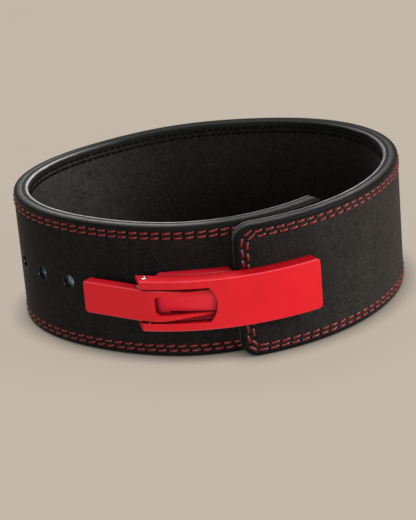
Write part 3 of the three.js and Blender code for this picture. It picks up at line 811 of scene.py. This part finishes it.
plyMeshes = makePlies()
plyTree = bendTree("bendStrap")
line, lineStart = loopLine()
cutter = punchCutter()
plyLooks = (
    ("nubuckOutside", "outerNubuck", "outer_suede", "outer_nubuck"),
    ("leatherCore", "edge", "leather_core", "painted_edge"),
    ("suedeInside", "innerSuede", "inner_suede", "inner_suede"),
)
for plyName, look, node, slot in plyLooks:
    cutMesh = bentAndPunched(plyMeshes[plyName], looks[look], plyTree, line, lineStart, cutter)
    finishPiece(plyName, cutMesh, (), (node,), sharpAngle=50)
    print(plyName, "made:", len(cutMesh.polygons), "faces")
bpy.data.objects.remove(cutter)
bpy.data.objects.remove(line)


# Stitching: rows of thread laid in their grooves, with a needle hole between stitches
stitching = {
    "crown": 0.4,  # how high the thread's middle stands over the groove's floor
    "dip": 1.2,  # how deep its ends go in
    "slant": 6.0,  # degrees that each stitch lies across its row
    "unevenness": 0.12,  # radians between the least and the most that one leans
    "shoulder": 0.72,  # share of half a stitch at which it starts to dip
    "seed": 4,
    "pathStep": 1.5,
    "meet": 70.0,  # left of the outer end, where the two rows' stitches lie side by side
    "sunkShare": 0.6,  # of the groove's depth, where the thread lies
    "rowChange": 0.006,  # by how much of a pitch the second row differs, as its way round is shorter or longer
}
threads = {
    "redThread": {"pitch": 7.95, "length": 6.5, "radius": 1.05, "needleHole": 1.2},
    "blackThread": {"pitch": 5.8, "length": 4.7, "radius": 1.25, "needleHole": 0.6},
}


def rowPath(inset, depth, outward, name):
    # A closed row as a mesh of edges, with the face's own direction stored on it
    ring = outlineRing(inset)
    closed = np.vstack([ring, ring[:1]])
    reach = np.concatenate([[0], np.cumsum(np.linalg.norm(np.diff(closed, axis=0), axis=1))])
    meeting = turnLength - stitching["meet"]
    onTop = np.flatnonzero(ring[:, 1] > strap["height"] - inset - 0.01)
    first = reach[onTop[np.argmin(np.abs(ring[onTop, 0] - meeting))]]
    count = int(reach[-1] / stitching["pathStep"])
    marks = (first + np.linspace(0, reach[-1], count, endpoint=False)) % reach[-1]
    along = np.interp(marks, reach, closed[:, 0])
    up = np.interp(marks, reach, closed[:, 1])
    places, normal, tangent = strapPoints(along, depth, up)
    mesh = bpy.data.meshes.new(name)
    mesh.from_pydata(places.tolist(), [(i, (i + 1) % count) for i in range(count)], [])
    facing = mesh.attributes.new("facing", "FLOAT_VECTOR", "POINT")
    sides = np.concatenate([normal * (1 if outward else -1), np.zeros((count, 1))], axis=1)
    facing.data.foreach_set("vector", sides.astype(np.float32).ravel())
    return mesh, reach[-1]


def stitchTree(name, threadMaterialUsed, holeMaterialUsed):
    # Geometry Nodes: resample the row by pitch, turn one stitch to the row and the face, copy it along
    tree, given = newTree(name, (
        "Stitch Count", "Pitch", "Stitch Length", "Thread Radius", "Crown", "Dip", "Needle Hole", "Slant",
        "Unevenness", "Seed"))
    for result, first, second in (
            ("half", "Stitch Length", 0.5), ("halfBack", "half", -1.0), ("sunk", "Dip", -1.0),
            ("shoulder", "half", stitching["shoulder"]), ("shoulderBack", "shoulder", -1.0),
            ("toHole", "Pitch", 0.5)):
        given[result] = addNode(tree, "ShaderNodeMath", {"operation": "MULTIPLY"}, {
            0: given[first], 1: second}).outputs["Value"]
    curve = addNode(tree, "GeometryNodeMeshToCurve", sockets={"Mesh": given["Geometry"]})
    spaced = addNode(tree, "GeometryNodeResampleCurve", {"mode": "COUNT"}, {
        "Curve": curve.outputs["Curve"], "Count": given["Stitch Count"]})
    facing = addNode(tree, "GeometryNodeInputNamedAttribute", {"data_type": "FLOAT_VECTOR"}, {
        "Name": "facing"})
    heading = addNode(tree, "GeometryNodeInputTangent")
    turned = addNode(tree, "FunctionNodeAxesToRotation", {"primary_axis": "Z", "secondary_axis": "X"}, {
        "Primary Axis": facing.outputs["Attribute"], "Secondary Axis": heading.outputs["Tangent"]})
    lean = addNode(tree, "FunctionNodeRandomValue", {"data_type": "FLOAT_VECTOR"}, {"Seed": given["Seed"]})
    centred = addNode(tree, "ShaderNodeVectorMath", {"operation": "SUBTRACT"}, {
        0: lean.outputs["Value"], 1: (0.5, 0.5, 0.5)})
    leaning = addNode(tree, "ShaderNodeVectorMath", {"operation": "SCALE"}, {
        0: centred.outputs["Vector"], "Scale": given["Unevenness"]})
    slanted = addNode(tree, "ShaderNodeCombineXYZ", sockets={"Z": given["Slant"]})
    leant = addNode(tree, "ShaderNodeVectorMath", {"operation": "ADD"}, {
        0: leaning.outputs["Vector"], 1: slanted.outputs["Vector"]})
    leanTurn = addNode(tree, "FunctionNodeEulerToRotation", sockets={"Euler": leant.outputs["Vector"]})
    placed = addNode(tree, "FunctionNodeRotateRotation", {"rotation_space": "LOCAL"}, {
        "Rotation": turned.outputs["Rotation"], "Rotate By": leanTurn.outputs["Rotation"]})

    # One stitch: an arc of thread that dips in at both ends
    corners = {}
    for key, x, z in (
            ("Start", "halfBack", "sunk"), ("Start Handle", "shoulderBack", "Crown"),
            ("End Handle", "shoulder", "Crown"), ("End", "half", "sunk")):
        corners[key] = addNode(tree, "ShaderNodeCombineXYZ", sockets={
            "X": given[x], "Z": given[z]}).outputs["Vector"]
    arc = addNode(tree, "GeometryNodeCurvePrimitiveBezierSegment", sockets={"Resolution": 8, **corners})
    ring = addNode(tree, "GeometryNodeCurvePrimitiveCircle", sockets={
        "Resolution": 7, "Radius": given["Thread Radius"]})
    thread = addNode(tree, "GeometryNodeCurveToMesh", sockets={
        "Curve": arc.outputs["Curve"], "Profile Curve": ring.outputs["Curve"], "Fill Caps": True})
    place = addNode(tree, "GeometryNodeInputPosition")
    axes = addNode(tree, "ShaderNodeSeparateXYZ", sockets={"Vector": place.outputs["Position"]})
    millimetres = addNode(tree, "ShaderNodeVectorMath", {"operation": "SCALE"}, {
        0: addNode(tree, "ShaderNodeCombineXYZ", sockets={
            "X": axes.outputs["X"], "Y": axes.outputs["Y"]}).outputs["Vector"], "Scale": 1000.0})
    mapped = addNode(tree, "GeometryNodeStoreNamedAttribute", {
        "data_type": "FLOAT2", "domain": "CORNER"}, {
        "Geometry": thread.outputs["Mesh"], "Name": "twistMap", "Value": millimetres.outputs["Vector"]})
    smooth = addNode(tree, "GeometryNodeSetShadeSmooth", sockets={"Geometry": mapped.outputs["Geometry"]})

    # One needle hole: a low dark disc half a pitch on, outside the painted shade of the pit
    disc = addNode(tree, "GeometryNodeMeshCylinder", {"fill_type": "TRIANGLE_FAN"}, {
        "Vertices": 10, "Radius": given["Needle Hole"], "Depth": 0.00012})
    marked = addNode(tree, "GeometryNodeStoreNamedAttribute", {"data_type": "BOOLEAN", "domain": "FACE"}, {
        "Geometry": disc.outputs["Mesh"], "Name": "needleHole", "Value": True})
    shift = addNode(tree, "ShaderNodeVectorMath", {"operation": "SCALE"}, {
        0: heading.outputs["Tangent"], "Scale": given["toHole"]})
    holePoints = addNode(tree, "GeometryNodeSetPosition", sockets={
        "Geometry": spaced.outputs["Curve"], "Offset": shift.outputs["Vector"]})
    threads = addNode(tree, "GeometryNodeInstanceOnPoints", sockets={
        "Points": spaced.outputs["Curve"], "Instance": smooth.outputs["Geometry"],
        "Rotation": placed.outputs["Rotation"]})
    holes = addNode(tree, "GeometryNodeInstanceOnPoints", sockets={
        "Points": holePoints.outputs["Geometry"], "Instance": marked.outputs["Geometry"],
        "Rotation": turned.outputs["Rotation"]})
    joined = addNode(tree, "GeometryNodeJoinGeometry", sockets={"Geometry": threads.outputs["Instances"]})
    tree.links.new(holes.outputs["Instances"], joined.inputs["Geometry"])
    real = addNode(tree, "GeometryNodeRealizeInstances", sockets={"Geometry": joined.outputs["Geometry"]})
    isHole = addNode(tree, "GeometryNodeInputNamedAttribute", {"data_type": "BOOLEAN"}, {
        "Name": "needleHole"})
    threaded = addNode(tree, "GeometryNodeSetMaterial", {}, {
        "Geometry": real.outputs["Geometry"], "Material": threadMaterialUsed})
    holed = addNode(tree, "GeometryNodeSetMaterial", {}, {
        "Geometry": threaded.outputs["Geometry"], "Selection": isHole.outputs["Attribute"],
        "Material": holeMaterialUsed})
    addNode(tree, "NodeGroupOutput", {}, {"Geometry": holed.outputs["Geometry"]})
    return tree


def sewRow(tree, name, inset, depth, outward, thread, pitchShare):
    path, length = rowPath(inset, depth, outward, name + "Path")
    sewer = addObject(name + "Path", path)
    modifier = sewer.modifiers.new("stitches", "NODES")
    modifier.node_group = tree
    count = round(length / (threads[thread]["pitch"] * pitchShare))
    setInputs(modifier, {
        "Stitch Count": count,
        "Pitch": threads[thread]["pitch"] * mm,
        "Stitch Length": threads[thread]["length"] * mm,
        "Thread Radius": threads[thread]["radius"] * mm,
        "Crown": stitching["crown"] * mm,
        "Dip": stitching["dip"] * mm,
        "Needle Hole": threads[thread]["needleHole"] * mm,
        "Slant": math.radians(stitching["slant"]),
        "Unevenness": stitching["unevenness"],
        "Seed": stitching["seed"],
    })
    mesh = settledMesh(sewer, name)
    finishPiece(name, mesh, (), ())
    print(name, "sewn:", count, "stitches,", len(mesh.polygons), "faces")


redTree = stitchTree("redStitches", looks["redThread"], looks["needleHole"])
blackTree = stitchTree("blackStitches", looks["blackThread"], looks["pulledTuft"])
sewnDepth = edgeShape["grooveDepth"] * stitching["sunkShare"]
for index, inset in enumerate(edgeShape["outerRows"]):
    sewRow(redTree, f"redStitchRow{index + 1}", inset, sewnDepth, True, "redThread",
           1 - stitching["rowChange"] * index)
for index, inset in enumerate(edgeShape["innerRows"]):
    sewRow(blackTree, f"blackStitchRow{index + 1}", inset, strap["thickness"] - sewnDepth, False,
           "blackThread", 1 + stitching["rowChange"] * index)


# Buckle castings: the imported solids, with a painted highlight on their outward cast edges
castEdges = {
    "flatAngle": 0.6,  # degrees between faces that are one surface
    "lowTilt": 0.3,  # how far up or down an edge's facet looks, from level to straight up
    "highTilt": 0.93,
    "widest": 1.6,
    "weld": 0.002,
    "sharpAngle": 20.0,
}


def paintedCasting(name, node):
    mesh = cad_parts[node].data.copy()
    mesh.name = name
    mesh.materials.clear()
    body = bmesh.new()
    body.from_mesh(mesh)
    bmesh.ops.remove_doubles(body, verts=body.verts, dist=castEdges["weld"] * mm)
    bmesh.ops.dissolve_limit(
        body, angle_limit=math.radians(castEdges["flatAngle"]), verts=body.verts, edges=body.edges)
    for face in body.faces:
        longest = max(edge.calc_length() for edge in face.edges)
        narrow = face.calc_area() / longest < castEdges["widest"] * mm
        tilt = abs(face.normal.z)
        centre = face.calc_center_median()
        outward = face.normal.xy.dot(centre.xy.normalized())
        tilted = castEdges["lowTilt"] < tilt < castEdges["highTilt"]
        # Narrow tilted facets facing outward take the lighter edge coat, a painted highlight
        face.material_index = 1 if narrow and tilted and outward > castEdges["lowTilt"] else 0
    body.to_mesh(mesh)
    body.free()
    mesh.shade_smooth()
    mesh.set_sharp_from_angle(angle=math.radians(castEdges["sharpAngle"]))
    rough = addObject(name + "Blank", mesh)
    shading = rough.modifiers.new("flatFacesLead", "WEIGHTED_NORMAL")
    shading.keep_sharp = True
    return settledMesh(rough, name)


castings = (
    ("leverHandle", "lever_handle", "redCoat"),
    ("hookPlate", "hook_plate", "redCoat"),
    ("basePlate", "base_plate", "redCoatPaintedLit"),
)
for name, node, coat in castings:
    casting = paintedCasting(name, node)
    finishPiece(name, casting, (looks[coat], looks["redEdgeHighlight"]), (node,))
    print(name, "painted:", len(casting.polygons), "faces")

# Lever pin: a rolled pin whose ends are bored and turned over on the lever's ears
pinShape = {
    "sides": 32,
    "headRadius": 2.25,
    "headHeight": 0.55,
    "seatDepth": 0.3,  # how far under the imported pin's ends the heads start
    "seatGap": 0.05,
    "innerBevel": 0.12,
    "outerBevel": 0.25,
    "shaftRadius": 1.6,
    "boreRadius": 1.05,
    "boreDepth": 2.5,
}


def rolledPin():
    low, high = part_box("lever_pin")
    centreX, centreY = (low.x + high.x) / 2, (low.y + high.y) / 2
    shape = {key: value * mm for key, value in pinShape.items() if key != "sides"}
    middle, seat = (low.z + high.z) / 2, (high.z - low.z) / 2 - shape["seatDepth"]
    top, under = seat + shape["headHeight"], seat + shape["seatGap"]
    half = [
        (shape["boreRadius"], top - shape["boreDepth"]), (shape["boreRadius"], top - shape["innerBevel"]),
        (shape["boreRadius"] * 1.2, top), (shape["headRadius"] * 0.8, top),
        (shape["headRadius"], top - shape["outerBevel"]), (shape["headRadius"], under),
        (shape["shaftRadius"], under),
    ]
    profile = [(0.0, half[0][1]), *half, *((r, -z) for r, z in reversed(half)), (0.0, -half[0][1])]
    body = bmesh.new()
    turns = np.linspace(0, 2 * math.pi, pinShape["sides"], endpoint=False)
    rings = []
    for radius, up in profile:
        around = turns if radius else turns[:1]
        rings.append([body.verts.new((
            centreX + radius * math.cos(turn), centreY + radius * math.sin(turn), middle + up))
            for turn in around])
    for ring, following in zip(rings, rings[1:]):
        for i in range(pinShape["sides"]):
            corners = [ring[i % len(ring)], ring[(i + 1) % len(ring)],
                       following[(i + 1) % len(following)], following[i % len(following)]]
            body.faces.new(list(dict.fromkeys(corners)))
    bmesh.ops.recalc_face_normals(body, faces=body.faces)
    mesh = bpy.data.meshes.new("rolledLeverPin")
    body.to_mesh(mesh)
    body.free()
    finishPiece("rolledLeverPin", mesh, (looks["steel"],), ("lever_pin",), sharpAngle=40)


rolledPin()
for node, look in (("link_pin", "oiledSteel"), ("base_screw_left", "steel"), ("base_screw_right", "steel")):
    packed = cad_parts[node]
    packed.data.materials.clear()
    packed.data.materials.append(looks[look])
print("buckle done")


# Studio: pale floor, soft lights
studio = {
    "floorSize": 12.0,  # metres
    "paperGlow": ("#c3b7a9", "#c5b9ab"),
    "paper": ("#4a453f", "#4c4741"),
    "floorGlow": 0.86,  # share of its tone that the paper has however it is lit
    "contactReach": 0.017,  # metres that the shade under the edge reaches
    "loopHalves": (0.14, 0.122),  # half the loop's width and depth in metres, where the walls keep light off
    "loopShade": 0.35,
    "loopFadeFrom": 0.7,  # share of those halves at which the shade starts to fade
    "worldStrength": 0.25,
}


def makeFloor():
    mesh = bpy.data.meshes.new("floor")
    half = studio["floorSize"] / 2
    corners = [(-half, -half, 0), (half, -half, 0), (half, half, 0), (-half, half, 0)]
    mesh.from_pydata(corners, [], [(0, 1, 2, 3)])
    material, tree, shader = newMaterial("pastelPaperFloor")
    place = addNode(tree, "ShaderNodeTexCoord").outputs["Object"]
    mottle = addNode(tree, "ShaderNodeTexNoise", sockets={"Vector": place, "Scale": 2.0})
    glow, tone = (addNode(tree, "ShaderNodeMix", {"data_type": "RGBA"}, {
        "Factor": mottle.outputs["Fac"], 6: linearColour(studio[tones][0]),
        7: linearColour(studio[tones][1])}) for tones in ("paperGlow", "paper"))
    contact = addNode(tree, "ShaderNodeAmbientOcclusion", {"samples": 16}, {
        "Color": glow.outputs[2], "Distance": studio["contactReach"]})
    halves = [1 / half for half in studio["loopHalves"]]
    loopPlace = addNode(tree, "ShaderNodeVectorMath", {"operation": "MULTIPLY"}, {
        0: place, 1: (*halves, 0.0)})
    fromMiddle = addNode(tree, "ShaderNodeVectorMath", {"operation": "LENGTH"}, {
        0: loopPlace.outputs["Vector"]})
    glowing = addNode(tree, "ShaderNodeMapRange", {"interpolation_type": "SMOOTHSTEP"}, {
        "Value": fromMiddle.outputs["Value"], "From Min": studio["loopFadeFrom"], "From Max": 1.0,
        "To Min": studio["floorGlow"] * studio["loopShade"], "To Max": studio["floorGlow"]})
    setSockets(tree, shader, {
        "Base Color": tone.outputs[2], "Emission Color": contact.outputs["Color"],
        "Emission Strength": glowing.outputs["Result"], "Roughness": 1.0, "Specular IOR Level": 0.0})
    mesh.materials.append(material)
    floor = addObject("floor", mesh)


lights = (
    # name, place in metres, aim, size, watts, colour
    ("keyRight", (2.5, -0.8, 1.2), (0.0, 0.0, 0.05), (1.2, 1.2), 64.0, "#fffaf5"),
    ("fillFront", (-0.3, -3.0, 0.9), (0.0, -0.1, 0.05), (2.2, 1.0), 40.0, "#ffffff"),
    ("topBack", (-0.3, 1.2, 2.4), (0.0, 0.0, 0.05), (1.6, 0.7), 38.0, "#ffffff"),
)


def makeLights():
    for name, place, aim, size, watts, colour in lights:
        data = bpy.data.lights.new(name, "AREA")
        data.shape = "RECTANGLE"
        data.size, data.size_y = size
        data.energy = watts
        data.color = linearColour(colour)[:3]
        lamp = addObject(name, data)
        lamp.location = place
        lamp.rotation_euler = (Vector(aim) - Vector(place)).to_track_quat("-Z", "Y").to_euler()
    world = bpy.data.worlds.new("studioAir")
    bpy.context.scene.world = world
    world.use_nodes = True
    background = world.node_tree.nodes["Background"]
    background.inputs["Color"].default_value = linearColour("#fffaf4")
    background.inputs["Strength"].default_value = studio["worldStrength"]


makeFloor()
makeLights()
bpy.context.scene.view_settings.view_transform = "Standard"
print("studio lit")
